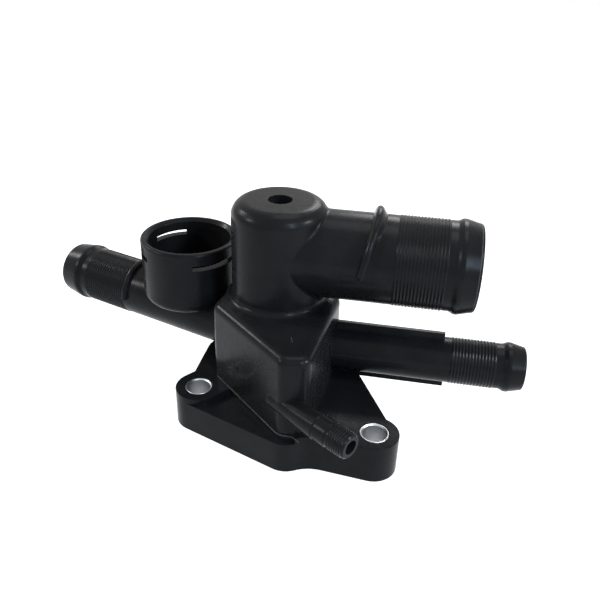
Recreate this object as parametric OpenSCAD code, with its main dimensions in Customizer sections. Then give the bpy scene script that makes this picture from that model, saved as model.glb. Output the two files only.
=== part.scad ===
// Coolant valve housing: a moulded flange, body and tower with three hose spigots, a clip socket and
// a bleed nipple, and the wax valve that it carries under the tower. Millimetres, +Z up.
// The origin lies on the tower's axis in the plane of the mounting face; the large outlet runs along +X.

/* [Flange] */
// Thickness of the flange plate
flange_t = 12; // [8:0.2:16]
// Height of the raised bolt pads and of the plinth round the body
pad_h = 14.4; // [12.5:0.1:20]
// Radius of the rounded ears round the bolts
ear_r = 8.7; // [8:0.1:12]
// Place of the left bolt
bolt_left = [-25.4, -22.7]; // [-60:0.1:60]
// Place of the right bolt
bolt_right = [41.5, -35.4]; // [-60:0.1:60]
// Place of the rear bolt
bolt_rear = [9.3, 30.1]; // [-60:0.1:60]
// Inner end of the web that runs to the right ear, under the body
web_foot = [13.1, -32.3]; // [-50:0.1:50]
// Half width of the straight web between the right and rear ears
web_half = 6.7; // [5:0.1:8]
// Centre of the rounded lobe under the body's nose
lobe_nose = [10.8, -37]; // [-50:0.1:50]
// Radius of that lobe
lobe_nose_r = 8.6; // [7:0.1:12]
// Centre of the rounded corner at the back left
lobe_left = [-19.8, 4]; // [-50:0.1:50]
// Radius of that corner
lobe_left_r = 10; // [8:0.1:14]
// Radius of the hollow between the nose lobe and the right ear
valley_r = 14; // [6:0.5:25]
// Corner of the front pocket at the plinth, where the raised right web begins
pocket_turn = [14.1, -43.7]; // [-50:0.1:50]
// Point beyond the flange's front edge that the pocket's end runs to
pocket_end = [18.6, -46.9]; // [-50:0.1:50]

/* [Body] */
// Height of the body's top face
body_top = 45; // [40:0.5:55]
// Wall of the body and of its roof
wall = 3; // [2:0.1:4]
// Rounding of the body's top edges
body_round = 3; // [1:0.1:3]
// Centre of the rounding at the nose's left corner
nose_left = [11.1, -38.5]; // [-50:0.1:50]
// Centre of the rounding at the nose's right corner
nose_right = [14.7, -37.9]; // [-50:0.1:50]
// Radius of the nose's corners
nose_r = 4.5; // [3:0.1:5]
// Centre of the left corner's rounding
body_left = [-16.5, -10.7]; // [-40:0.1:40]
// Radius of the left corner
body_left_r = 5.5; // [5.2:0.1:7]
// Centre of the right rear corner's rounding
body_right = [15, 2]; // [-40:0.1:40]
// Radius of the right rear corner
body_right_r = 8; // [5:0.1:10]
// Radius of the body where it wraps the tower at the back
body_back_r = 20; // [18.5:0.1:24]
// Step of the plinth beyond the body's walls
plinth_step = 0.5; // [0.4:0.1:1.4]
// Centre of the chamber's rounding towards the nose
chamber_nose = [10.4, -31.2]; // [-40:0.1:40]
// Radius of that rounding
chamber_nose_r = 5.3; // [4.5:0.1:6]

/* [Tower] */
// Outer radius of the tower
tower_r = 17.4; // [16.5:0.1:19]
// Wall of the tower
tower_wall = 3; // [2.4:0.1:3.4]
// Height of the tower's top
tower_top = 82.5; // [80:0.5:90]
// Rounding of the tower's top edge
tower_round = 5.4; // [2:0.1:7]
// Fillet where the tower stands on the body
tower_foot = 2.4; // [0.6:0.1:2.5]
// Radius of the blind recess in the tower's top
recess_r = 4.4; // [3:0.1:5]
// Depth of that recess
recess_depth = 9; // [4:0.5:10]
// Wall between the recess and the boss's outside
boss_wall = 2.6; // [2:0.1:3.5]
// Depth of the boss below the tower's top
boss_depth = 16; // [14:0.5:18]

/* [Large outlet] */
// Height of the outlet's axis
outlet_z = 63.8; // [62:0.1:66]
// Radius of the barrel that takes the hose
outlet_r = 16; // [14:0.1:16.6]
// Wall of the outlet
outlet_wall = 2.7; // [2:0.1:3.5]
// Distance of the outlet's end from the tower's axis
outlet_end = 70.7; // [66:0.1:90]
// Length of the stretch with grip ribs
outlet_ribs = 17.4; // [10:0.6:20]
// Length of the bead and mouth
outlet_bead = 9.1; // [7:0.1:11]
// Height of the bead over the barrel
outlet_bead_h = 0.9; // [0.4:0.1:1.6]
// Distance of the half collar's ends from the tower's axis
outlet_collar = 31; // [28:0.1:33]
// Lean of the half collar towards the mouth
collar_lean = 13; // [0:1:16]
// Height of the half collar over the barrel
collar_h = 3.2; // [1:0.1:4]
// Width of the half collar
collar_w = 2.9; // [2:0.1:6]
// Rise of the half collar's centre, which makes it lower at its ends than at the top
collar_lift = 1.7; // [0:0.1:2]

/* [Right pipe] */
// Height of the right pipe's axis
right_z = 25.1; // [24.5:0.1:30]
// Radius of the barrel that takes the hose
right_r = 8.5; // [7:0.1:10]
// Wall of the right pipe
right_wall = 2.3; // [1.6:0.1:3]
// Distance of the right pipe's end from the tower's axis
right_end = 92.8; // [85:0.1:110]
// Offset of the right pipe's axis from the tower's axis
right_y = -0.6; // [-4:0.1:4]
// Length of the stretch with grip ribs
right_ribs = 16.2; // [10:0.6:18]
// Length of the bead and mouth
right_bead = 8.6; // [7:0.1:10]
// Height of the bead over the barrel
right_bead_h = 0.8; // [0.4:0.1:1.6]
// Length of the upper fin from the tower's axis
fin_end = 63; // [50:0.5:64]
// Height of the upper fin over the pipe
fin_h = 3; // [1:0.1:3.4]
// Length of the lower fin from the tower's axis
low_fin_end = 64.6; // [50:0.1:65]
// Height of the lower fin under the pipe
low_fin_h = 3.3; // [1:0.1:4]
// Thickness of the fins
fin_t = 1.6; // [1:0.1:3]

/* [Left pipe] */
// Height of the left pipe's axis
left_z = 25.2; // [24.5:0.1:30]
// Radius of the barrel that takes the hose
left_r = 11.4; // [10:0.1:12]
// Wall of the left pipe
left_wall = 2.4; // [1.6:0.1:3]
// Direction of the left pipe, from +X
left_dir = 160.6; // [150:0.1:170]
// Offset of the left pipe's axis from the tower's axis
left_y = 3.2; // [-4:0.1:6]
// Distance of the left pipe's end from the tower's axis
left_end = 107.4; // [105:0.1:125]
// Length of the stretch with grip ribs
left_ribs = 21.6; // [12:0.6:24]
// Length of the bead and mouth
left_bead = 11.6; // [9:0.1:14]
// Height of the bead over the barrel
left_bead_h = 0.9; // [0.4:0.1:1.6]
// Distance of the low half collar from the tower's axis
left_collar = 69.9; // [66:0.1:70]
// Height of the low half collar over the barrel
left_collar_h = 1.7; // [0.4:0.1:2]
// Width of the low half collar
left_collar_w = 3.2; // [1.6:0.1:4]

/* [Clip socket] */
// Distance of the socket from the tower, along the left pipe
socket_at = 42.6; // [42:0.1:46]
// Outer radius of the socket
socket_r = 19.3; // [17:0.1:19.5]
// Wall of the socket
socket_wall = 3; // [2:0.1:4]
// Height of the socket's rim
socket_top = 57.2; // [52:0.1:65]
// Height of the socket's rounded bottom
socket_low = 30.8; // [30:0.1:34]
// Thickness of the socket's floor over its bottom
socket_floor = 6; // [5.5:0.1:8]
// Radius of the waterway from the socket down to the left pipe
waterway_r = 6.5; // [4:0.1:8]
// Height of the clip slots
slot_h = 2.1; // [1:0.1:3]
// Distance of the slots below the rim
slot_below = 4.8; // [3:0.1:8]

/* [Bleed nipple] */
// Height of the nipple's axis
nipple_z = 25.1; // [22:0.1:27]
// Direction of the nipple, from +X
nipple_dir = -34; // [-40:0.5:-30]
// Place on the nipple's axis inside the nose
nipple_at = [11.3, -40.7]; // [-50:0.1:50]
// Length of the nipple from that place
nipple_end = 28.6; // [26:0.1:36]
// Distance of the root's shoulder from that place
nipple_shoulder = 15.5; // [13:0.1:17]
// Length of the plain shank beyond the shoulder
nipple_shank = 4.8; // [2:0.1:6]
// Radius of the root at its shoulder
nipple_root_r = 4.7; // [4.6:0.1:5.4]
// Radius of the plain shank
nipple_shank_r = 4.5; // [4.3:0.05:4.6]
// Radius of the nipple's tip
nipple_r = 4.25; // [3.5:0.05:4.3]
// Distance behind that place at which the root dies into the body's wall
nipple_tail = 7.6; // [6:0.1:9]
// Radius of the root where it dies into the wall
nipple_tail_r = 3.1; // [2.6:0.1:3.4]
// Radius of the bore through the nipple
nipple_bore_r = 2.5; // [1.6:0.1:2.6]
// Radius of the cross hole from the chamber to that bore
nipple_feed_r = 2; // [1:0.1:2.2]

/* [Bolt sleeves] */
// Outer radius of a bolt sleeve
sleeve_r = 5.2; // [4.6:0.1:6]
// Wall of a bolt sleeve
sleeve_wall = 1; // [0.6:0.1:1.5]

/* [Flange seal] */
// Width of the seal's groove
groove_w = 3; // [2:0.1:4]
// Depth of the seal's groove
groove_depth = 2.4; // [1.5:0.1:4]
// Land between the chamber and the groove
groove_land = 1.6; // [1:0.1:2.5]
// Side clearance of the seal in its groove
seal_gap = 0.1; // [0.05:0.01:0.3]

/* [Wax valve] */
// Radius of the valve's opening
port_r = 12.4; // [10:0.1:13]
// Outer radius of the valve plate and of its seal
valve_r = 15; // [14.2:0.1:15.2]
// Height of the seat lip below the roof
seat_lip = 1.5; // [0.8:0.1:2.5]
// Thickness of the rubber ring on the valve plate
seal_t = 2.2; // [1:0.1:3]
// Gap left between the closed seal and its seat
seat_gap = 0.1; // [0.05:0.01:0.3]
// Thickness of the valve plate
plate_t = 1.2; // [0.8:0.1:2]
// Travel of the valve from closed to fully open
valve_travel = 8; // [5:0.5:9]
// Radius of the piston pin
piston_r = 2; // [1.5:0.1:2.4]
// Radial play of the capsule on the piston pin
piston_play = 0.05; // [0.02:0.01:0.1]
// Radius of the wax capsule
capsule_r = 6.4; // [5.5:0.1:7]
// Length of the wax capsule below the valve plate
capsule_len = 24; // [20:0.5:26]
// Length of the guide above the valve plate
guide_len = 14; // [10:0.5:16]
// Mean radius of the return spring
spring_r = 10.2; // [9.6:0.1:11]
// Radius of the spring's wire
spring_wire = 1; // [0.7:0.1:1.2]
// Turns of the return spring
spring_turns = 5; // [4:1:7]
// Height of the return spring with the valve closed
spring_len = 22; // [20:0.5:23]
// Thickness of the yoke under the spring
yoke_t = 1.6; // [1:0.1:2]
// Width of the yoke's arms and of the posts that carry it
yoke_w = 9; // [6:0.5:11]
// Clearance of the yoke in the posts' notches, and of the posts round the valve
fit_gap = 0.3; // [0.2:0.05:0.5]

/* [Hidden] */
$fn = 64;
black = [0.09, 0.09, 0.1];
rubber = [0.05, 0.05, 0.05];
silver = [0.82, 0.83, 0.85];
steel = [0.6, 0.61, 0.63];
brass = [0.78, 0.62, 0.32];
bolts = [bolt_left, bolt_right, bolt_rear];
hair = 0.002;
rib_h = 0.28;
rib_pitch = 1.2;
rib_gap = 2.2;
bead_rise = 2.4;
bead_steps = 6;
crest_flat = 0.8;
mouth_in = 0.3;
end_round = 1;
tail_round = 1.2;
bore_back = 2;
chamfer = 0.5;
tower_in = tower_r - tower_wall;
tower_roof = tower_top - tower_wall;
tower_in_round = 2.4;
mouth_rise = 2;
boss_r = recess_r + boss_wall;
boss_low = tower_top - boss_depth;
roof_low = body_top - wall;
seat_z = roof_low - seat_lip;
seal_top = seat_z - seat_gap;
plate_top = seal_top - seal_t;
plate_low = plate_top - plate_t;
yoke_top = plate_low - spring_len;
yoke_low = yoke_top - yoke_t;
collar_t = 3;
guide_r = 4.6;
hub_wall = 1.1;
post_t = 3.2;
post_side = 2;
hook_t = 2.4;
notch_in = 1.8;
post_r = valve_r + 2 * fit_gap;
post_low = yoke_low - fit_gap - hook_t;
piston_socket = 4.5;
piston_in = 6;
piston_low = plate_low - piston_in;
wax_room = valve_travel / 2;
socket = left_origin() + socket_at * [cos(left_dir), sin(left_dir)];
body_corners = [nose_left, nose_right, body_right, [0, 0], body_left];
body_radii = [nose_r, nose_r, body_right_r, body_back_r, body_left_r];
chamber_corners = [chamber_nose, body_right, [0, 0], body_left];
chamber_radii = [chamber_nose_r, body_right_r - wall, body_back_r - wall, body_left_r - wall];
slot_spans = [[-69, -8], [113, 163], [196, 230]];

// The point of the left pipe's axis beside the tower
function left_origin() = [0, left_y];

// Points of an arc about a centre
function arc(c, r, a0, a1, n) = [for (i = [0:n]) let (a = a0 + (a1 - a0) * i / n) c + r * [cos(a), sin(a)]];

// Radii grown or shrunk together
function grown(radii, d) = [for (r = radii) r + d];

// Straight-sided web between two circles, a hair inside their common tangents so that it crosses them
module link(a, ra, b, rb) {
    dir = atan2(b.y - a.y, b.x - a.x);
    lean = acos((ra - rb) / norm(b - a));
    left = [cos(dir + lean), sin(dir + lean)];
    right = [cos(dir - lean), sin(dir - lean)];
    to_a = ra - hair;
    to_b = rb - hair;
    polygon([a + to_a * right, b + to_b * right, b + to_b * left, a + to_a * left]);
}

// Convex outline: circles at the corners, joined by their common tangents
module outline(c, radii) {
    polygon(c);
    for (i = [0:len(c) - 1]) {
        j = (i + 1) % len(c);
        translate(c[i]) circle(radii[i]);
        link(c[i], radii[i], c[j], radii[j]);
    }
}

// Stands a module's Z axis along a horizontal direction, with its -X side up
module along(dir, at, height) {
    translate([at.x, at.y, height]) rotate([0, 0, dir]) rotate([0, 90, 0]) children();
}

// Saw-tooth grip ribs between two stations of a hose barrel
function ribs(r, t0, t1) = let (n = round((t1 - t0) / rib_pitch), p = (t1 - t0) / n)
    [for (i = [0:n - 1]) each [[r, t0 + i * p], [r + rib_h, t0 + (i + 0.5) * p]]];

// Bead: a smooth rise from the barrel, a short crest and a straight taper to the mouth's rounded lip
function bead(r, h, t0, end_t) = let (end_r = r - mouth_in) concat(
    [for (i = [0:bead_steps]) [r + h * (1 - cos(180 * i / bead_steps)) / 2, t0 + bead_rise * i / bead_steps]],
    [[r + h, t0 + bead_rise + crest_flat]],
    arc([end_r - end_round, end_t - end_round], end_round, 0, 90, 4));

// Hose spigot of revolution: plain barrel, grip ribs, bead and lip
module spigot(r, end_t, rib_len, bead_len, bead_h) {
    rib_to = end_t - bead_len - rib_gap;
    rotate_extrude() polygon(concat([[0, 0], [r, 0]], ribs(r, rib_to - rib_len, rib_to), [[r, rib_to]],
        bead(r, bead_h, end_t - bead_len, end_t), [[0, end_t]]));
}

// Rounded ridge round the upper half of a barrel, centred above its axis and leaning about its two ends
module half_collar(r, at, h, w, lean, lift) {
    root = 1;
    dip = asin(lift / r);
    low = h - lift;
    translate([0, 0, at]) rotate([0, lean, 0]) translate([-lift, 0, 0]) rotate([0, 0, 90 - dip])
        rotate_extrude(angle = 180 + 2 * dip) polygon(concat([[r - lift - root, -w / 2], [r, -w / 2]],
            [for (i = [1:7]) [r + low * sin(180 * i / 8), -w / 2 * cos(180 * i / 8)]],
            [[r, w / 2], [r - lift - root, w / 2]]));
}

// Plan of the web from the nose to the right and rear ears, with the hollow beside the nose lobe
module right_wing() {
    along_web = (bolt_right - web_foot) / norm(bolt_right - web_foot);
    out = [along_web.y, -along_web.x];
    to_foot = web_foot + (ear_r + valley_r) * out - lobe_nose;
    reach = to_foot * along_web;
    slide = sqrt(reach * reach - to_foot * to_foot + (lobe_nose_r + valley_r) ^ 2) - reach;
    valley = lobe_nose + to_foot + slide * along_web;
    polygon([web_foot, bolt_right, bolt_rear, [0, 0]]);
    translate(bolt_right) circle(ear_r);
    translate(bolt_rear) circle(ear_r);
    link(bolt_right, ear_r, web_foot, ear_r);
    link(bolt_right, web_half, bolt_rear, web_half);
    difference() {
        polygon([lobe_nose, valley, valley - valley_r * out, web_foot]);
        translate(valley) circle(valley_r);
    }
}

// Plan of the web from the left ear round the back to the rear ear
module left_wing() {
    polygon([bolt_left, [0, 0], bolt_rear, lobe_left]);
    translate(bolt_left) circle(ear_r);
    translate(lobe_left) circle(lobe_left_r);
    link(bolt_left, ear_r / 2, lobe_left, lobe_left_r);
    link(lobe_left, lobe_left_r, bolt_rear, ear_r);
}

// Plan of the whole flange plate: the two wings and the front web to the nose lobe
module flange_plan() {
    right_wing();
    left_wing();
    polygon([bolt_left, lobe_nose, web_foot, [0, 0]]);
    translate(lobe_nose) circle(lobe_nose_r);
    link(bolt_left, ear_r, lobe_nose, lobe_nose_r);
}

// Plan of the raised parts: the wings, the bridge from the left ear and the plinth round the body
module pad_plan() {
    difference() {
        right_wing();
        polygon([lobe_nose, pocket_turn, pocket_end, [lobe_nose.x, pocket_end.y]]);
    }
    left_wing();
    link(bolt_left, ear_r, body_left, ear_r);
    outline(body_corners, grown(body_radii, plinth_step));
}

// Outside of the body: a rounded post at each corner, joined
module body_form() {
    hull() for (i = [0:len(body_corners) - 1]) translate(concat(body_corners[i], [flange_t - 1]))
        rotate_extrude($fn = 96) polygon(concat([[0, 0], [body_radii[i], 0]],
            arc([body_radii[i] - body_round, body_top - flange_t + 1 - body_round], body_round, 0, 90, 6),
            [[0, body_top - flange_t + 1]]));
}

// Outside of the tower, with its rounded top and the fillet at its foot
module tower_form() {
    rotate_extrude($fn = 128) polygon(concat([[0, roof_low + 1], [tower_r + tower_foot, roof_low + 1]],
        arc([tower_r + tower_foot, body_top + tower_foot], tower_foot, 270, 180, 6),
        arc([tower_r - tower_round, tower_top - tower_round], tower_round, 0, 90, 10), [[0, tower_top]]));
}

// Outside of the clip socket: a cup with a rounded bottom and rim
module socket_form() {
    bottom_round = 4;
    rim_round = 1.1;
    translate([socket.x, socket.y, 0]) rotate_extrude($fn = 128) polygon(concat([[0, socket_low]],
        arc([socket_r - bottom_round, socket_low + bottom_round], bottom_round, 270, 360, 6),
        arc([socket_r - rim_round, socket_top - rim_round], rim_round, 0, 90, 5), [[0, socket_top]]));
}

// Hollow of the clip socket, with its lead-in and the waterway down to the left pipe
module socket_hollow() {
    lead = 1.2;
    bore = socket_r - socket_wall;
    floor_z = socket_low + socket_floor;
    translate([socket.x, socket.y, 0]) {
        rotate_extrude($fn = 128) polygon([[0, floor_z], [bore, floor_z], [bore, socket_top - lead],
            [bore + lead, socket_top], [bore + lead, socket_top + 1], [0, socket_top + 1]]);
        translate([0, 0, left_z]) cylinder(r = waterway_r, h = floor_z - left_z + 1);
        for (s = slot_spans) translate([0, 0, socket_top - slot_below - slot_h]) rotate([0, 0, s[0]])
            rotate_extrude(angle = s[1] - s[0]) translate([bore - 1, 0]) square([socket_wall + 2, slot_h]);
    }
}

// Bleed nipple: a root that tapers back along the body's wall, a plain shank and a narrower tip
module nipple_form() {
    tip = nipple_shoulder + nipple_shank;
    along(nipple_dir, nipple_at, nipple_z) rotate_extrude() polygon(concat([[0, -nipple_tail]],
        arc([nipple_tail_r - tail_round, tail_round - nipple_tail], tail_round, 270, 360, 4),
        [[nipple_root_r, nipple_shoulder - chamfer], [nipple_shank_r, nipple_shoulder],
        [nipple_shank_r, tip], [nipple_r, tip + chamfer], [nipple_r, nipple_end - chamfer],
        [nipple_r - chamfer, nipple_end], [0, nipple_end]]));
}

// Fins above and below the right pipe
module fins() {
    along(0, [0, right_y], right_z) {
        translate([-right_r - fin_h, -fin_t / 2, 0]) cube([right_r + fin_h, fin_t, fin_end]);
        translate([0, -fin_t / 2, 0]) cube([right_r + low_fin_h, fin_t, low_fin_end]);
    }
}

// Everything that shows from outside, still solid
module housing_form() {
    linear_extrude(flange_t) flange_plan();
    linear_extrude(pad_h) pad_plan();
    body_form();
    tower_form();
    along(0, [0, 0], outlet_z) {
        spigot(outlet_r, outlet_end, outlet_ribs, outlet_bead, outlet_bead_h);
        half_collar(outlet_r, outlet_collar, collar_h, collar_w, collar_lean, collar_lift);
    }
    along(0, [0, right_y], right_z) spigot(right_r, right_end, right_ribs, right_bead, right_bead_h);
    along(left_dir, left_origin(), left_z) {
        spigot(left_r, left_end, left_ribs, left_bead, left_bead_h);
        half_collar(left_r, left_collar, left_collar_h, left_collar_w, 0, 0);
    }
    fins();
    socket_form();
    nipple_form();
}

// Every waterway, hole and groove
module housing_hollow() {
    feed = nipple_at - chamber_nose;
    translate([0, 0, -1]) linear_extrude(roof_low + 1) outline(chamber_corners, chamber_radii);
    translate([0, 0, roof_low - 1]) cylinder(r = port_r, h = wall + 2);
    rotate_extrude() polygon(concat([[0, body_top], [port_r, body_top], [tower_in, body_top + mouth_rise]],
        arc([tower_in - tower_in_round, tower_roof - tower_in_round], tower_in_round, 0, 90, 5),
        [[0, tower_roof]]));
    along(0, [0, 0], outlet_z) cylinder(r = outlet_r - outlet_wall, h = outlet_end + 1);
    along(0, [0, right_y], right_z) cylinder(r = right_r - right_wall, h = right_end + 1);
    along(left_dir, left_origin(), left_z) cylinder(r = left_r - left_wall, h = left_end + 1);
    along(nipple_dir, nipple_at, nipple_z) translate([0, 0, -bore_back])
        cylinder(r = nipple_bore_r, h = nipple_end + bore_back + 1);
    along(atan2(feed.y, feed.x), chamber_nose, nipple_z) cylinder(r = nipple_feed_r, h = norm(feed));
    socket_hollow();
    for (b = bolts) translate([b.x, b.y, -1]) cylinder(r = sleeve_r, h = pad_h + 2);
    translate([0, 0, -1]) linear_extrude(groove_depth + 1) difference() {
        outline(chamber_corners, grown(chamber_radii, groove_land + groove_w));
        outline(chamber_corners, grown(chamber_radii, groove_land));
    }
}

// Boss for the piston pin, seat lip and the two posts that hold the yoke
module housing_inner() {
    translate([0, 0, boss_low]) cylinder(r = boss_r, h = tower_roof - boss_low + 1);
    translate([0, 0, seat_z]) difference() {
        cylinder(r = valve_r, h = seat_lip + 1);
        translate([0, 0, -1]) cylinder(r = port_r, h = seat_lip + 3);
    }
    for (turn = [0, 180]) rotate([0, 0, turn]) translate([-yoke_w / 2 - post_side, post_r, post_low])
        cube([yoke_w + 2 * post_side, post_t, roof_low - post_low + 1]);
}

// Holes cut last: the top recess, the piston's socket and the notches for the yoke
module inner_holes() {
    notch_w = yoke_w + 2 * fit_gap;
    translate([0, 0, tower_top - recess_depth]) cylinder(r = recess_r, h = recess_depth + 1);
    translate([0, 0, boss_low - 1]) cylinder(r = piston_r, h = piston_socket + 1);
    for (turn = [0, 180]) rotate([0, 0, turn]) translate([-notch_w / 2, post_r - 1, yoke_low])
        cube([notch_w, notch_in + fit_gap + 1, yoke_t + fit_gap]);
}

// The moulded housing, one piece of glass-filled plastic
module housing() {
    color(black) difference() {
        union() {
            difference() {
                housing_form();
                housing_hollow();
            }
            housing_inner();
        }
        inner_holes();
    }
}

// Aluminium sleeve that carries one bolt's load through the flange
module bolt_sleeve(at) {
    color(silver) translate([at.x, at.y, 0]) difference() {
        cylinder(r = sleeve_r, h = pad_h);
        translate([0, 0, -1]) cylinder(r = sleeve_r - sleeve_wall, h = pad_h + 2);
    }
}

module sleeve_left() bolt_sleeve(bolt_left);

module sleeve_right() bolt_sleeve(bolt_right);

module sleeve_rear() bolt_sleeve(bolt_rear);

// Rubber ring in the groove of the mounting face
module flange_seal() {
    color(rubber) translate([0, 0, seal_gap]) linear_extrude(groove_depth - seal_gap) difference() {
        outline(chamber_corners, grown(chamber_radii, groove_land + groove_w - seal_gap));
        outline(chamber_corners, grown(chamber_radii, groove_land + seal_gap));
    }
}

// Steel pin, fixed in the boss, that the wax pushes the capsule away from
module piston_pin() {
    color(steel) translate([0, 0, piston_low])
        cylinder(r = piston_r, h = boss_low + piston_socket - piston_low);
}

// Brass cup of wax, with the collar that lifts the valve plate
module wax_capsule() {
    tip_round = 2;
    step = 1.6;
    color(brass) difference() {
        rotate_extrude() polygon(concat([[0, plate_low - capsule_len]],
            arc([capsule_r - tip_round, plate_low - capsule_len + tip_round], tip_round, 270, 360, 5),
            [[capsule_r, plate_low - collar_t - step], [capsule_r + step, plate_low - collar_t],
            [capsule_r + step, plate_low], [0, plate_low]]));
        translate([0, 0, piston_low - wax_room])
            cylinder(r = piston_r + piston_play, h = piston_in + wax_room + 1);
    }
}

// Brass guide that runs on the piston pin
module capsule_guide() {
    taper = 1;
    plain = 0.6 * guide_len;
    color(brass) difference() {
        rotate_extrude() polygon([[0, plate_low], [guide_r, plate_low], [guide_r, plate_low + plain],
            [guide_r - taper, plate_low + guide_len], [0, plate_low + guide_len]]);
        translate([0, 0, plate_low - 1]) cylinder(r = piston_r + piston_play, h = guide_len + 2);
    }
}

// Pressed steel plate with a drawn hub round the guide
module valve_plate() {
    rim = 1.6;
    color(steel) rotate_extrude() polygon([[guide_r, plate_low], [valve_r, plate_low],
        [valve_r, plate_top], [guide_r + hub_wall, plate_top], [guide_r + hub_wall, plate_top + rim],
        [guide_r, plate_top + rim]]);
}

// Rubber ring that closes against the seat lip
module valve_seal() {
    lap = 1.4;
    bevel = 0.8;
    inner = port_r - lap;
    color(rubber) rotate_extrude() polygon([[inner, plate_top], [valve_r, plate_top],
        [valve_r, seal_top], [inner + bevel, seal_top], [inner, seal_top - bevel]]);
}

// One point of the spring's wire: the ring of section points at a turn angle
function coil_point(a, s, low, rise) = let (r = spring_r + spring_wire * cos(s))
    [r * cos(a), r * sin(a), low + rise * a / (360 * spring_turns) + spring_wire * sin(s)];

// Coil spring between the yoke and the valve plate
module return_spring() {
    sides = 8;
    steps = 24 * spring_turns;
    low = yoke_top + spring_wire;
    rise = spring_len - 2 * spring_wire;
    points = [for (i = [0:steps], j = [0:sides - 1])
        coil_point(i * 360 * spring_turns / steps, j * 360 / sides, low, rise)];
    walls = [for (i = [0:steps - 1], j = [0:sides - 1]) let (k = (j + 1) % sides)
        [i * sides + j, i * sides + k, (i + 1) * sides + k, (i + 1) * sides + j]];
    first = [for (j = [sides - 1:-1:0]) j];
    last = [for (j = [0:sides - 1]) steps * sides + j];
    color(steel) polyhedron(points, concat([first], walls, [last]), convexity = 8);
}

// Pressed steel yoke under the spring, hooked into the two posts
module spring_yoke() {
    rim = 1.4;
    seat = spring_r + spring_wire + rim;
    lip_r = spring_r - spring_wire - fit_gap;
    hole_r = capsule_r + fit_gap;
    half = post_r + notch_in;
    color(steel) translate([0, 0, yoke_low]) difference() {
        union() {
            linear_extrude(yoke_t) {
                circle(seat);
                translate([-yoke_w / 2, -half]) square([yoke_w, 2 * half]);
            }
            cylinder(r = lip_r, h = yoke_t + rim);
        }
        translate([0, 0, -1]) cylinder(r = hole_r, h = yoke_t + rim + 2);
    }
}

housing();
sleeve_left();
sleeve_right();
sleeve_rear();
flange_seal();
piston_pin();
wax_capsule();
capsule_guide();
valve_plate();
valve_seal();
return_spring();
spring_yoke();
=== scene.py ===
import bmesh
import bpy
import numpy as np
from mathutils import Matrix


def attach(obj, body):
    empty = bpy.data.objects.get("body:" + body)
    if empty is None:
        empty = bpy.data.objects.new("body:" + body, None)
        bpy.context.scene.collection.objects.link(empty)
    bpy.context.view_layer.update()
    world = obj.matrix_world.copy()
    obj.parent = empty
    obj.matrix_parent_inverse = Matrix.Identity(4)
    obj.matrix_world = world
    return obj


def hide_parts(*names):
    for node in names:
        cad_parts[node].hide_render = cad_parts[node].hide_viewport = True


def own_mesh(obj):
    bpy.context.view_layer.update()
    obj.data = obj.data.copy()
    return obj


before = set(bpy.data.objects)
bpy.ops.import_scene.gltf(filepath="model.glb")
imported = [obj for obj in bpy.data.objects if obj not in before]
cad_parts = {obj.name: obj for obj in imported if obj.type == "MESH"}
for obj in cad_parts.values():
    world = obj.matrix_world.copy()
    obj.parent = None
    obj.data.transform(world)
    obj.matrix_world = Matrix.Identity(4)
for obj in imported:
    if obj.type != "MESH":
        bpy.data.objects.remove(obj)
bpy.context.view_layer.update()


# The studio: a white floor under the flange in a white surround, with soft boxes above, behind, at both
# sides and in front on the right, seen through a normal lens from the front and above.
camera_at = (0.044159, -0.218770, 0.169056)
camera_right = (0.98360, 0.17813, 0.02820)
camera_up = (-0.11215, 0.48168, 0.86914)
camera_back = (0.14124, -0.85805, 0.49376)
camera_lens = 40.69
camera_sensor = 36.0
camera_near = 0.01
lamp_aim = (0.0, 0.0, 0.04)
overhead = 0.9
white = (1.0, 1.0, 1.0)
window_blue = (0.62, 0.79, 1.0)
surround_grey = (0.30, 0.30, 0.31)
floor_half = 1.6
floor_low = -0.0002
floor_grey = 0.72
floor_glow = 0.74

scene = bpy.context.scene
scene.view_settings.view_transform = 'Standard'


def unit(vectors):
    """Vectors brought to length one."""
    return vectors / np.linalg.norm(vectors, axis=-1, keepdims=True)


def stand(thing, right, up, back, place):
    """Puts a thing into the scene at a place, its own axes turned right, up and back."""
    thing.matrix_world = Matrix([*zip(right, up, back, place), (0, 0, 0, 1)])
    scene.collection.objects.link(thing)


def soft_box(name, place, width, watts, tint=white, tall=None):
    """A lamp at a place, its face turned to the aim point: square, or a strip where it is tall."""
    lamp = bpy.data.lights.new(name, 'AREA')
    lamp.shape = 'RECTANGLE'
    lamp.size = width
    lamp.size_y = tall or width
    lamp.energy = watts
    lamp.color = tint
    back = unit(np.subtract(place, lamp_aim))
    level = (0.0, 1.0, 0.0) if abs(back[2]) > overhead else (0.0, 0.0, 1.0)
    side = unit(np.cross(level, back))
    stand(bpy.data.objects.new(name, lamp), side, np.cross(back, side), back, place)


lens = bpy.data.cameras.new("studio_camera")
lens.lens = camera_lens
lens.sensor_width = camera_sensor
lens.clip_start = camera_near
eye = bpy.data.objects.new("studio_camera", lens)
stand(eye, camera_right, camera_up, camera_back, camera_at)
scene.camera = eye

soft_box("box_over", (0.10, 0.25, 1.10), width=0.50, watts=2.8)
soft_box("box_back", (0.14, 1.04, 0.70), width=0.42, watts=4.8)
soft_box("box_side", (-0.95, 0.30, 0.66), width=0.20, watts=4.5)
soft_box("box_left", (-0.85, -0.30, 0.58), width=0.16, watts=3.5)
soft_box("box_right", (0.95, -0.10, 0.55), width=0.20, watts=6.5)
soft_box("box_front", (0.66, -0.76, 0.66), width=0.16, watts=8.0, tint=window_blue, tall=0.50)


def shader_tree(owner):
    """The cleared node tree of a material or world, as a maker for its nodes and one for its links."""
    owner.use_nodes = True
    tree = owner.node_tree
    tree.nodes.clear()

    def put(kind, **sockets):
        node = tree.nodes.new("ShaderNode" + kind)
        for key, value in sockets.items():
            node.inputs[key.replace("_", " ")].default_value = value
        return node

    return put, tree.links.new


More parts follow.
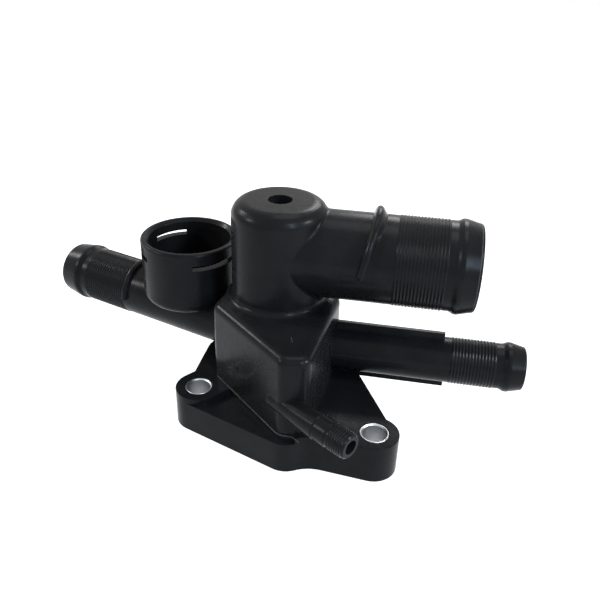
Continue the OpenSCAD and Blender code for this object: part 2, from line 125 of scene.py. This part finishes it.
def surface(put, join, shader, kind="OutputMaterial"):
    """Ends a node tree with its shader."""
    join(shader.outputs[0], put(kind).inputs["Surface"])


def larger(put, join, one, two):
    """The larger of two values."""
    node = put("Math")
    node.operation = 'MAXIMUM'
    join(one, node.inputs[0])
    join(two, node.inputs[1])
    return node.outputs[0]


def white_rays(put, join):
    """1 for rays that come from the camera, a mirror or a clear body, so that these see white."""
    path = put("LightPath").outputs
    seen = larger(put, join, path["Is Camera Ray"], path["Is Glossy Ray"])
    return larger(put, join, seen, path["Is Transmission Ray"])


surround = bpy.data.worlds.new("surround")
scene.world = surround
put, join = shader_tree(surround)
ambient = put("Background", Color=(*surround_grey, 1.0))
plain = put("Background", Color=(*white, 1.0))
choose = put("MixShader")
join(white_rays(put, join), choose.inputs[0])
join(ambient.outputs[0], choose.inputs[1])
join(plain.outputs[0], choose.inputs[2])
surface(put, join, choose, "OutputWorld")

floor_corners = [(-floor_half, -floor_half, floor_low), (floor_half, -floor_half, floor_low),
                 (floor_half, floor_half, floor_low), (-floor_half, floor_half, floor_low)]
floor_mesh = bpy.data.meshes.new("floor")
floor_mesh.from_pydata(floor_corners, [], [(0, 1, 2, 3)])
floor = bpy.data.objects.new("floor", floor_mesh)
scene.collection.objects.link(floor)
floor_paint = bpy.data.materials.new("floor_paint")
put, join = shader_tree(floor_paint)
matt = put("BsdfDiffuse", Color=(floor_grey, floor_grey, floor_grey, 1.0))
glow = put("Emission", Color=(*white, 1.0))
lift = put("Math")
lift.operation = 'MULTIPLY'
lift.inputs[1].default_value = floor_glow
both = put("AddShader")
join(white_rays(put, join), lift.inputs[0])
join(lift.outputs[0], glow.inputs["Strength"])
join(matt.outputs[0], both.inputs[0])
join(glow.outputs[0], both.inputs[1])
surface(put, join, both)
floor_mesh.materials.append(floor_paint)


# The housing is one injection moulding of black glass-filled nylon. Its faces keep the faint grain of
# the steel mould and the cloudy sheen of the glass, and every moulded edge is slightly rounded.
noise_rough = 0.6
noise_low = 0.3
noise_high = 0.7
tint_low = 0.3
tint_high = 0.72
plastic_ior = 1.5
edge_round = 0.0003
edge_samples = 6


def noise_of(put, join, scale, detail, stretch=(1.0, 1.0, 1.0)):
    """A noise in the part's own coordinates, drawn out along an axis where its stretch is small."""
    coords = put("TexCoord")
    turn = put("Mapping", Scale=stretch)
    noise = put("TexNoise", Scale=scale, Detail=detail, Roughness=noise_rough)
    join(coords.outputs["Object"], turn.inputs["Vector"])
    join(turn.outputs["Vector"], noise.inputs["Vector"])
    return noise.outputs["Fac"]


def spread(put, join, noise, low, high):
    """The noise's middle range spread over the span from low to high."""
    span = put("MapRange", From_Min=noise_low, From_Max=noise_high, To_Min=low, To_Max=high)
    join(noise, span.inputs["Value"])
    return span.outputs["Result"]


def tint_of(put, join, noise, dark, light):
    """A colour between a dark and a light tint, chosen by the noise."""
    ramp = put("ValToRGB")
    first, last = ramp.color_ramp.elements
    first.position = tint_low
    first.color = (*dark, 1.0)
    last.position = tint_high
    last.color = (*light, 1.0)
    join(noise, ramp.inputs["Fac"])
    return ramp.outputs["Color"]


def bumped(put, join, noise, strength, depth, under=None):
    """The surface normal, roughened by a noise of a given depth over the normal below it."""
    bump = put("Bump", Strength=strength, Distance=depth)
    join(noise, bump.inputs["Height"])
    if under is not None:
        join(under, bump.inputs["Normal"])
    return bump.outputs["Normal"]


moulding_black = bpy.data.materials.new("moulding_black")
put, join = shader_tree(moulding_black)
cloud = noise_of(put, join, scale=90.0, detail=4.0)
ripple = noise_of(put, join, scale=240.0, detail=2.0)
grain = noise_of(put, join, scale=2600.0, detail=3.0)
rounding = put("Bevel", Radius=edge_round)
rounding.samples = edge_samples
edges = rounding.outputs["Normal"]
waves = bumped(put, join, ripple, strength=0.10, depth=0.0004, under=edges)
pores = bumped(put, join, grain, strength=0.03, depth=0.00006, under=waves)
black = tint_of(put, join, cloud, dark=(0.0068, 0.0069, 0.0074), light=(0.0108, 0.0109, 0.0117))
skin = put("BsdfPrincipled", IOR=plastic_ior, Specular_IOR_Level=0.066)
join(black, skin.inputs["Base Color"])
join(spread(put, join, ripple, low=0.22, high=0.31), skin.inputs["Roughness"])
join(pores, skin.inputs["Normal"])
surface(put, join, skin)


def dress(node, material):
    """Gives a CAD node one material."""
    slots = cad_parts[node].data.materials
    slots.clear()
    slots.append(material)


dress("housing", moulding_black)


# The big outlet grows out of the side of the tower. The mould leaves a rolled fillet where the two
# rounds meet: the same nylon, part of the housing.
mm = 0.001
weld = 1e-7
tower_core = 12.0
tower_round = 5.4
tower_round_z = 77.1
outlet_r = 16.0
outlet_z = 63.8
root_roll = 1.8
root_sink = 0.01


def grid_piece(name, grid, material, body="housing", round_u=False, round_v=False, crease=None):
    """A mesh over a grid of points in millimetres: every cell of four neighbours is one face, a
    direction that closes joins its last row to its first, and rows drawn to one point become a pole."""
    rows, columns = grid.shape[:2]
    a, b = np.meshgrid(np.arange(rows if round_u else rows - 1),
                       np.arange(columns if round_v else columns - 1), indexing="ij")
    c = (a + 1) % rows
    d = (b + 1) % columns
    faces = np.stack([a * columns + b, c * columns + b, c * columns + d, a * columns + d], axis=-1)
    mesh = bpy.data.meshes.new(name)
    mesh.from_pydata((grid.reshape(-1, 3) * mm).tolist(), [], faces.reshape(-1, 4).tolist())
    shell = bmesh.new()
    shell.from_mesh(mesh)
    bmesh.ops.remove_doubles(shell, verts=shell.verts, dist=weld)
    shell.to_mesh(mesh)
    shell.free()
    mesh.polygons.foreach_set("use_smooth", np.ones(len(mesh.polygons), dtype=bool))
    if crease is not None:
        mesh.set_sharp_from_angle(angle=crease)
    mesh.materials.append(material)
    piece = bpy.data.objects.new(name, mesh)
    scene.collection.objects.link(piece)
    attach(piece, body)
    return piece


def rolled_root(steps, across):
    """A ball that rolls round the outlet, touching it and the domed tower: for each turn angle the
    ball's centre is one ball radius off both, and the strip is the short arc between its two touching
    points."""
    turn = np.linspace(0.0, 2 * np.pi, steps, endpoint=False)
    y = (outlet_r + root_roll) * np.sin(turn)
    z = outlet_z + (outlet_r + root_roll) * np.cos(turn)
    over = np.maximum(0.0, z - tower_round_z)
    reach = tower_core + np.sqrt((tower_round + root_roll) ** 2 - over ** 2)
    ball = np.stack([np.sqrt(reach ** 2 - y ** 2), y, z], axis=-1)
    core = ball * (tower_core / reach)[:, None]
    core[:, 2] = np.minimum(z, tower_round_z)
    to_outlet = np.stack([0 * turn, -np.sin(turn), -np.cos(turn)], axis=-1)
    to_tower = unit(core - ball)
    angle = np.arccos(np.sum(to_outlet * to_tower, axis=-1))[:, None, None]
    share = np.linspace(0.0, 1.0, across)[None, :, None]
    arc = np.sin((1 - share) * angle) * to_outlet[:, None] + np.sin(share * angle) * to_tower[:, None]
    return ball[:, None] + (root_roll - root_sink) * arc / np.sin(angle)


root_grid = rolled_root(steps=192, across=10)
grid_piece("outlet_root", root_grid, moulding_black, round_u=True)


# The half collar that stops the hose on the outlet is blended into the barrel by wide rolled fillets,
# widest at the top and thin at its two ends: the same nylon, part of the housing.
collar_span = np.radians(93.0)
collar_ends = 31.0
collar_slope = 0.225
collar_rise = 1.7
collar_ring = 17.5
collar_low = 1.42
collar_swell = 1.27
collar_half = 1.5
collar_spread = 1.3
collar_sink = 0.12


def collar_roll(steps, across):
    """A hump over the barrel along the leaning collar: for each turn angle from the back over the top
    to the front, its height follows the collar's, and its half width grows with the cube of the upward
    share."""
    turn = np.linspace(collar_span, -collar_span, steps)[:, None]
    share = np.linspace(-1.0, 1.0, across)[None, :]
    up = np.clip(np.cos(turn), 0.0, 1.0)
    height = collar_low + collar_swell * np.cos(turn) + collar_sink
    radius = outlet_r + height * (1 - share ** 2) ** 2 - collar_sink
    middle = collar_ends + collar_slope * (collar_rise + collar_ring * np.cos(turn))
    x = middle + (collar_half + collar_spread * up ** 3) * share
    return np.stack([x, radius * np.sin(turn), outlet_z + radius * np.cos(turn)], axis=-1)


grid_piece("collar_roll", collar_roll(steps=121, across=25), moulding_black)


# The bleed nipple's end carries a fine thread for its cap, run out at both ends. It is moulded in the
# same nylon as the rest of the housing.
nipple_at = np.array([11.3, -40.7, 25.1])
nipple_turn = np.radians(-34.0)
thread_from = 21.0
thread_to = 28.0
thread_pitch = 1.0
thread_low = 4.20
thread_high = 4.45
thread_steep = 1.7
thread_root = 0.35
thread_crease = 0.9


def screw_thread(steps, around):
    """A tube round the nipple's axis whose radius rises and falls once for each pitch along it, the
    crest going once round in the same length, and fades into the plain end at both sides."""
    along = np.linspace(thread_from, thread_to, steps)[None, :]
    turn = np.linspace(0.0, 2 * np.pi, around, endpoint=False)[:, None]
    saw = np.mod(along / thread_pitch - turn / (2 * np.pi), 1.0)
    crest = np.clip(thread_steep * (1 - np.abs(2 * saw - 1)) - thread_root, 0.0, 1.0)
    fade = np.clip(np.minimum(along - thread_from, thread_to - along) / thread_pitch, 0.0, 1.0)
    radius = thread_low + (thread_high - thread_low) * crest * fade
    axis = np.array([np.cos(nipple_turn), np.sin(nipple_turn), 0.0])
    side = np.array([-axis[1], axis[0], 0.0])
    rim = np.cos(turn)[..., None] * side + np.sin(turn)[..., None] * np.array([0.0, 0.0, 1.0])
    return nipple_at + along[..., None] * axis + radius[..., None] * rim


grid_piece("nipple_thread", screw_thread(steps=116, around=72), moulding_black,
           round_u=True, crease=thread_crease)


# Where the halves of the mould and its slides meet, a hair of flash stands along the pipes, the outlet,
# its mouth and the edge of the plinth, and the gate leaves a short mark on the body's top. It is all thin
# nylon. The flash at the mouth and the plinth and the gate mark are painted a lighter grey than the
# moulding: a painted highlight for the bright line these edges catch, varied at random along them.
flash_half = 0.16
flash_rise = 0.09
flash_sink = 0.06
flash_least = 0.45
flash_knot = 6
flash_across = 7
flash_steps = 160
flash_seed = 5
right_front = -9.1
right_back = 7.9
right_z = 25.1
right_span = (23.6, 65.2)
outlet_span = (20.0, 41.6)
pad_h = 14.4
plinth_start = (-20.65, -15.03, pad_h)
plinth_nose = (11.1, -38.5)
plinth_nose_r = 5.0
plinth_bend = np.radians(np.linspace(-133.7, -84.0, 9))
plinth_end = [(14.1, -43.7, pad_h), (17.0, -45.76, pad_h)]
body_top = 45.0
gate_path = [(10.3, -28.8, body_top), (10.7, -30.2, body_top), (11.3, -32.2, body_top)]
lean_side = 0.0
lean_edge = 1.0
lean_top = 60.0
mouth_edge = 69.7
mouth_r = 15.7
rng = np.random.default_rng(flash_seed)


def flash_line(points, up):
    """A low ridge along a path of points: its section is an arch, wide one flash and sunk a little into
    the wall, its height wanders along the path, and it leans out to the right of the path and up."""
    points = np.array(points, dtype=float)
    length = np.concatenate([[0.0], np.cumsum(np.linalg.norm(np.diff(points, axis=0), axis=1))])
    at = np.linspace(0.0, length[-1], flash_steps)
    path = np.stack([np.interp(at, length, column) for column in points.T], axis=-1)
    heading = unit(np.gradient(path, axis=0))
    zenith = np.array([0.0, 0.0, 1.0])
    outward = unit(np.cross(heading, zenith) + up * zenith)
    side = np.cross(outward, heading)
    across = np.linspace(-1.0, 1.0, flash_across)
    knots = rng.uniform(flash_least, 1.0, flash_steps // flash_knot + 2)
    wander = np.interp(at, np.linspace(0.0, length[-1], len(knots)), knots)
    rise = wander[:, None] * (flash_rise + flash_sink) * (1 - across ** 2) - flash_sink
    width = flash_half * across[None, :, None] * side[:, None]
    return path[:, None] + width + rise[..., None] * outward[:, None]


def straight(span, y, z):
    """The two ends of a line along the part's length."""
    return [(x, y, z) for x in span]


# Painted highlight: a grey lighter than the black moulding, standing in for the light caught by the flash
# edges.
painted_highlight_nylon = bpy.data.materials.new("painted_highlight_nylon")
put, join = shader_tree(painted_highlight_nylon)
highlight_noise = noise_of(put, join, scale=900.0, detail=3.0)
grey = tint_of(put, join, highlight_noise, dark=(0.018, 0.018, 0.019), light=(0.060, 0.060, 0.062))
skin = put("BsdfPrincipled", IOR=plastic_ior, Specular_IOR_Level=0.3)
join(grey, skin.inputs["Base Color"])
join(spread(put, join, highlight_noise, low=0.36, high=0.55), skin.inputs["Roughness"])
surface(put, join, skin)

nose_bend = np.stack([plinth_nose[0] + plinth_nose_r * np.cos(plinth_bend),
                      plinth_nose[1] + plinth_nose_r * np.sin(plinth_bend),
                      np.full(len(plinth_bend), pad_h)], axis=-1)
plinth_path = [plinth_start, *nose_bend, *plinth_end]
level_runs = {
    "flash_right_front": straight(right_span, right_front, right_z),
    "flash_right_back": straight(right_span[::-1], right_back, right_z),
    "flash_outlet_front": straight(outlet_span, -outlet_r, outlet_z),
    "flash_outlet_back": straight(outlet_span[::-1], outlet_r, outlet_z),
}
for name, path in level_runs.items():
    grid_piece(name, flash_line(path, lean_side), moulding_black)
# The plinth's flash and the gate mark take the painted highlight grey.
grid_piece("flash_plinth", flash_line(plinth_path, lean_edge), painted_highlight_nylon)
grid_piece("gate_mark", flash_line(gate_path, lean_top), painted_highlight_nylon)


def flash_ring(at, radius, steps):
    """A low ridge once round the outlet at one station of its axis: its section is the same arch, and
    its height wanders round the ring."""
    turn = np.linspace(0.0, 2 * np.pi, steps, endpoint=False)[:, None]
    across = np.linspace(-1.0, 1.0, flash_across)[None, :]
    knots = rng.uniform(flash_least, 1.0, steps // flash_knot)
    wander = np.interp(turn, np.linspace(0.0, 2 * np.pi, len(knots) + 1), [*knots, knots[0]])
    reach = radius + wander * (flash_rise + flash_sink) * (1 - across ** 2) - flash_sink
    x = np.broadcast_to(at + flash_half * across, reach.shape)
    return np.stack([x, -reach * np.sin(turn), outlet_z + reach * np.cos(turn)], axis=-1)


# The flash round the mouth takes the painted highlight grey.
mouth_grid = flash_ring(mouth_edge, mouth_r, steps=240)
grid_piece("flash_mouth", mouth_grid, painted_highlight_nylon, round_u=True)


# The three bolt sleeves are aluminium tubes, turned and chamfered. They are pressed into the flange, so
# that the bolts clamp metal and not the moulding.
sleeve_at = {
    "sleeve_left": (-25.4, -22.7),
    "sleeve_right": (41.5, -35.4),
    "sleeve_rear": (9.3, 30.1),
}
sleeve_section = [(5.18, 0.2), (5.18, 14.15), (4.98, 14.38), (4.62, 14.38), (4.22, 14.0),
                  (4.2, 13.8), (4.2, 0.6), (4.22, 0.4), (4.6, 0.02), (4.98, 0.02)]
sleeve_crease = 0.5


def turned(section, centre, steps):
    """A section of radius and height carried once round a vertical axis through the centre."""
    section = np.array(section)
    turn = np.linspace(0.0, 2 * np.pi, steps, endpoint=False)[:, None]
    x = centre[0] + section[None, :, 0] * np.cos(turn)
    y = centre[1] + section[None, :, 0] * np.sin(turn)
    return np.stack([x, y, np.broadcast_to(section[None, :, 1], x.shape)], axis=-1)


def metal(name, dark, light, smooth, rough, scale, depth, stretch=(1.0, 1.0, 1.0)):
    """A bare metal: its polish and fine marks follow one noise, which the stretch may draw out along an
    axis, and its tint follows wider clouds."""
    material = bpy.data.materials.new(name)
    put, join = shader_tree(material)
    marks = noise_of(put, join, scale, detail=4.0, stretch=stretch)
    clouds = noise_of(put, join, scale=160.0, detail=3.0)
    body = put("BsdfPrincipled", Metallic=1.0)
    join(tint_of(put, join, clouds, dark, light), body.inputs["Base Color"])
    join(spread(put, join, marks, smooth, rough), body.inputs["Roughness"])
    join(bumped(put, join, marks, strength=0.35, depth=depth), body.inputs["Normal"])
    surface(put, join, body)
    return material


aluminium = metal("turned_aluminium", dark=(0.44, 0.45, 0.47), light=(0.60, 0.61, 0.62),
                  smooth=0.26, rough=0.42, scale=700.0, depth=0.00003, stretch=(0.15, 0.15, 6.0))
for name, place in sleeve_at.items():
    tube = grid_piece(name + "_tube", turned(sleeve_section, place, steps=96), aluminium,
                      round_u=True, round_v=True, crease=sleeve_crease)
    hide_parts(name)


# The flange seal is a rubber ring that lies in the groove of the mounting face. The valve's own rubber
# ring, which shuts against the seat lip, is the same black rubber with a dusty bloom.
rubber_black = bpy.data.materials.new("rubber_black")
put, join = shader_tree(rubber_black)
bloom = noise_of(put, join, scale=420.0, detail=4.0)
pitting = noise_of(put, join, scale=3000.0, detail=2.0)
dusty = tint_of(put, join, bloom, dark=(0.012, 0.012, 0.012), light=(0.026, 0.026, 0.027))
body = put("BsdfPrincipled", IOR=plastic_ior, Specular_IOR_Level=0.25)
join(dusty, body.inputs["Base Color"])
join(spread(put, join, bloom, low=0.55, high=0.75), body.inputs["Roughness"])
join(bumped(put, join, pitting, strength=0.3, depth=0.00005), body.inputs["Normal"])
surface(put, join, body)
dress("flange_seal", rubber_black)
dress("valve_seal", rubber_black)


# The piston pin is ground steel, pressed into the boss under the tower's top. The valve plate and the
# yoke under the spring are stamped from steel sheet and zinc plated, and the yoke's arms hook into two
# posts of the housing.
ground_steel = metal("ground_steel", dark=(0.50, 0.51, 0.53), light=(0.62, 0.63, 0.65),
                     smooth=0.18, rough=0.30, scale=900.0, depth=0.00002, stretch=(1.0, 1.0, 0.05))
zinc_plate = metal("zinc_plate", dark=(0.42, 0.43, 0.45), light=(0.60, 0.61, 0.62),
                   smooth=0.30, rough=0.48, scale=500.0, depth=0.00004)
dress("piston_pin", ground_steel)
dress("valve_plate", zinc_plate)
dress("spring_yoke", zinc_plate)


# The wax capsule and its guide are turned brass, tarnished a little by the coolant. The guide is
# pressed into the valve plate's hub, and both run on the piston pin.
capsule_brass = metal("capsule_brass", dark=(0.48, 0.33, 0.12), light=(0.68, 0.50, 0.22),
                      smooth=0.24, rough=0.42, scale=600.0, depth=0.00003, stretch=(0.2, 0.2, 5.0))
dress("wax_capsule", capsule_brass)
dress("capsule_guide", capsule_brass)


# The return spring is wound from spring steel wire, its end turns closed. It stands on the yoke and
# shortens as the capsule pushes the plate down.
spring_r = 10.2
spring_wire = 1.0
spring_low = 16.0
spring_rise = 20.0
spring_turns = 5.0
spring_crease = 0.9
end_turn = 0.8
end_slope = 0.42


def coil(steps, around):
    """A round wire carried along a helix: its climb is slow over the end turns and even between them,
    and its section draws to a point at both ends."""
    share = np.linspace(0.0, 1.0, steps)
    inside = np.minimum(share, 1.0 - share) * spring_turns / end_turn
    slope = end_slope + (1 - end_slope) * np.clip(2 * inside - 1, 0.0, 1.0) ** 2
    climb = np.concatenate([[0.0], np.cumsum((slope[1:] + slope[:-1]) / 2)])
    turn = 2 * np.pi * spring_turns * share
    wire = spring_wire * np.where((share == 0) | (share == 1), 0.0, 1.0)[:, None]
    bend = np.linspace(0.0, 2 * np.pi, around, endpoint=False)[None, :]
    radius = spring_r + wire * np.cos(bend)
    height = spring_low + spring_rise * (climb / climb[-1])[:, None] + wire * np.sin(bend)
    return np.stack([radius * np.cos(turn)[:, None], radius * np.sin(turn)[:, None], height], axis=-1)


spring_steel = metal("spring_steel", dark=(0.22, 0.22, 0.23), light=(0.36, 0.36, 0.37),
                     smooth=0.28, rough=0.45, scale=800.0, depth=0.00003)
spring = grid_piece("valve_spring", coil(steps=480, around=16), spring_steel, round_v=True,
                    crease=spring_crease)
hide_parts("return_spring")
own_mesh(spring)
